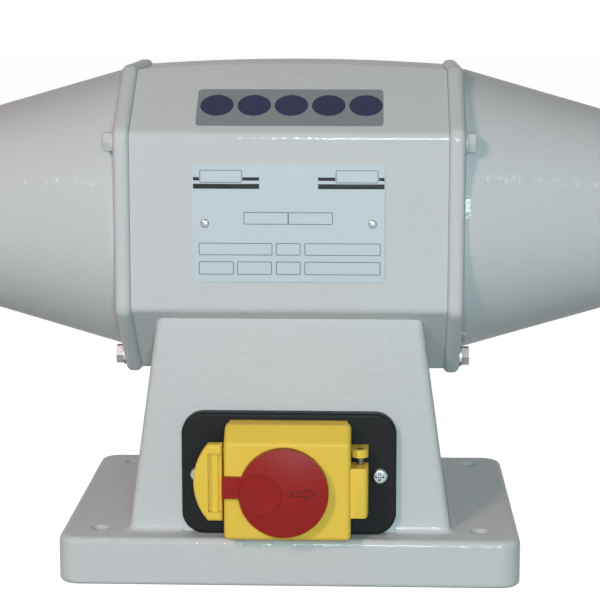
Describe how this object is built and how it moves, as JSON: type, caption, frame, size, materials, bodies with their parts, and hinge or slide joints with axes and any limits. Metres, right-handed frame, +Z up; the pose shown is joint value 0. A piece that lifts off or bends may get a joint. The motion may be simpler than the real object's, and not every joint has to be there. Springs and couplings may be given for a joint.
{
  "type": "bench polisher",
  "caption": "Double-ended bench polisher with cast pedestal, octagonal motor, long conical bearing noses, stitched cloth buffs and a latching switch flap.",
  "frame": {"origin": "middle of the bench bolt pattern on the underside of the base", "axes": "+X along the shaft to the right of someone facing the switch, +Y towards the back, +Z up"},
  "size_m": [0.5746, 0.2, 0.2635],
  "materials": {
    "grey_paint": "glossy light grey paint",
    "black_plastic": "satin black",
    "yellow_plastic": "satin yellow",
    "red_plastic": "satin red",
    "green_plastic": "satin green",
    "bright_steel": "zinc plated",
    "turned_steel": "ground and turned",
    "core_steel": "stacked laminations",
    "aluminium": "plain",
    "brass": "plain",
    "copper": "varnished wire",
    "rubber": "soft black",
    "vinyl": "printed film",
    "cotton": "stitched cotton plies"
  },
  "bodies": {
    "machine": {"base_casting": "grey_paint", "motor_housing": "grey_paint", "left_end_bell": "grey_paint", "right_end_bell": "grey_paint", "switch_bezel": "black_plastic", "switch_body": "black_plastic", "terminal_block": "black_plastic", "gland_body": "black_plastic", "gland_nut": "black_plastic", "gland_locknut": "black_plastic", "latch_frame": "yellow_plastic", "bell_bolts": "bright_steel", "bell_washers": "bright_steel", "bezel_screws": "bright_steel", "cover_screws": "bright_steel", "housing_bolts": "bright_steel", "clip_screws": "bright_steel", "hinge_pin": "bright_steel", "capacitor_clip": "bright_steel", "base_cover": "bright_steel", "left_bearing_outer": "turned_steel", "right_bearing_outer": "turned_steel", "preload_washer": "turned_steel", "stator_core": "core_steel", "front_plate": "aluminium", "plate_rivets": "aluminium", "capacitor": "aluminium", "switch_terminals": "brass", "earth_screw": "brass", "stator_winding": "copper", "left_seal": "rubber", "right_seal": "rubber", "lead_grommet": "rubber", "gland_seal": "rubber", "motor_lead": "rubber", "facet_strip": "vinyl"},
    "rotor": {"shaft": "turned_steel", "rotor_core": "core_steel", "rotor_end_rings": "aluminium", "left_bearing_inner": "turned_steel", "right_bearing_inner": "turned_steel", "left_inner_clamp": "aluminium", "right_inner_clamp": "aluminium", "left_outer_clamp": "aluminium", "right_outer_clamp": "aluminium", "left_buff": "cotton", "right_buff": "cotton", "left_arbor_nut": "bright_steel", "right_arbor_nut": "bright_steel"},
    "left_cage": {"left_bearing_balls": "turned_steel", "left_bearing_cage": "brass"},
    "right_cage": {"right_bearing_balls": "turned_steel", "right_bearing_cage": "brass"},
    "flap": {"switch_flap": "yellow_plastic"},
    "cap": {"slide_cap": "red_plastic"},
    "start": {"start_button": "green_plastic"},
    "stop": {"stop_button": "red_plastic"}
  },
  "joints": [
    {"name": "rotor_spin", "type": "hinge", "parent": "machine", "child": "rotor", "pos_m": [0, 0, 0.1635], "axis": [1, 0, 0], "continuous": true},
    {"name": "left_cage_spin", "type": "hinge", "parent": "machine", "child": "left_cage", "pos_m": [0, 0, 0.1635], "axis": [1, 0, 0], "continuous": true},
    {"name": "right_cage_spin", "type": "hinge", "parent": "machine", "child": "right_cage", "pos_m": [0, 0, 0.1635], "axis": [1, 0, 0], "continuous": true},
    {"name": "flap_hinge", "type": "hinge", "parent": "machine", "child": "flap", "pos_m": [0.03225, -0.079, 0.0482], "axis": [0, 0, 1], "range_deg": [0, 105]},
    {"name": "cap_slide", "type": "slide", "parent": "flap", "child": "cap", "axis": [1, 0, 0], "range_m": [0, 0.005], "stiffness_N_per_m": 600},
    {"name": "start_push", "type": "slide", "parent": "machine", "child": "start", "axis": [0, 1, 0], "range_m": [0, 0.003], "stiffness_N_per_m": 600},
    {"name": "stop_push", "type": "slide", "parent": "machine", "child": "stop", "axis": [0, 1, 0], "range_m": [0, 0.003], "stiffness_N_per_m": 600}
  ],
  "couplings": [
    {"joint": "left_cage_spin", "follows": "rotor_spin", "ratio": 0.38209},
    {"joint": "right_cage_spin", "follows": "rotor_spin", "ratio": 0.38209}
  ]
}
